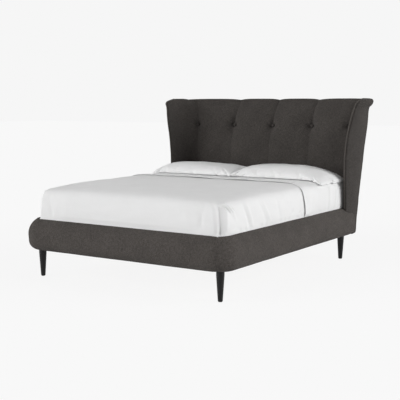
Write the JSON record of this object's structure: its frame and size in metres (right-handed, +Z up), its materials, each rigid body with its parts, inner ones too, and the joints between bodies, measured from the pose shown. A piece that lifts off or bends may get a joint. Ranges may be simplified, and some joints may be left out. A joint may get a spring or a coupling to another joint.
{
  "type": "upholstered winged bed",
  "caption": "Double bed with upholstered bullnose rails and a button tufted headboard, its wings curving forward and its top rolled back, made up with mattress and bedding.",
  "frame": {"origin": "on the floor under the middle of the bed", "axes": "+X to the right side of the bed seen from its foot, +Y towards the head, +Z up"},
  "size_m": [1.8906, 2.332, 1.286],
  "materials": {
    "upholstery": "woven charcoal wool blend",
    "button_cloth": "woven charcoal wool blend",
    "piping": "woven piping, a little lighter",
    "slat_wood": "lacquered beech plywood",
    "holder_plastic": "moulded, matt",
    "steel": "black powder coat",
    "glide": "matt",
    "black_leg": "satin black lacquer",
    "pillowcase": "white cotton",
    "ticking": "white knitted ticking",
    "bed_sheet": "white cotton",
    "coverlet_cloth": "white cotton",
    "timber": "planed pine and plywood"
  },
  "bodies": {
    "root": {"back_board": "timber", "centre_beam": "timber", "centre_beam_shoes": "steel", "centre_leg": "black_leg", "corner_block_front_left": "timber", "corner_block_front_right": "timber", "corner_block_rear_left": "timber", "corner_block_rear_right": "timber", "corner_panel_left": "timber", "corner_panel_right": "timber", "coverlet": "coverlet_cloth", "fitted_sheet": "bed_sheet", "foot_rail_core": "timber", "foot_rail_cover": "upholstery", "headboard_back_cover": "upholstery", "headboard_buttons": "button_cloth", "headboard_cross_rail": "timber", "headboard_pad": "upholstery", "leg_front_left": "black_leg", "leg_front_right": "black_leg", "leg_glides": "glide", "leg_plates": "steel", "leg_rear_left": "black_leg", "leg_rear_right": "black_leg", "mattress": "ticking", "pillow_left": "pillowcase", "pillow_right": "pillowcase", "side_rail_core_left": "timber", "side_rail_core_right": "timber", "side_rail_cover_left": "upholstery", "side_rail_cover_right": "upholstery", "slat_holders_centre": "holder_plastic", "slat_holders_left": "holder_plastic", "slat_holders_right": "holder_plastic", "slat_ledger_left": "timber", "slat_ledger_right": "timber", "slat_row_01": "slat_wood", "slat_row_02": "slat_wood", "slat_row_03": "slat_wood", "slat_row_04": "slat_wood", "slat_row_05": "slat_wood", "slat_row_06": "slat_wood", "slat_row_07": "slat_wood", "slat_row_08": "slat_wood", "slat_row_09": "slat_wood", "slat_row_10": "slat_wood", "slat_row_11": "slat_wood", "slat_row_12": "slat_wood", "slat_row_13": "slat_wood", "slat_row_14": "slat_wood", "wing_board_left": "timber", "wing_board_right": "timber", "wing_welt_left": "piping", "wing_welt_right": "piping"}
  },
  "joints": []
}
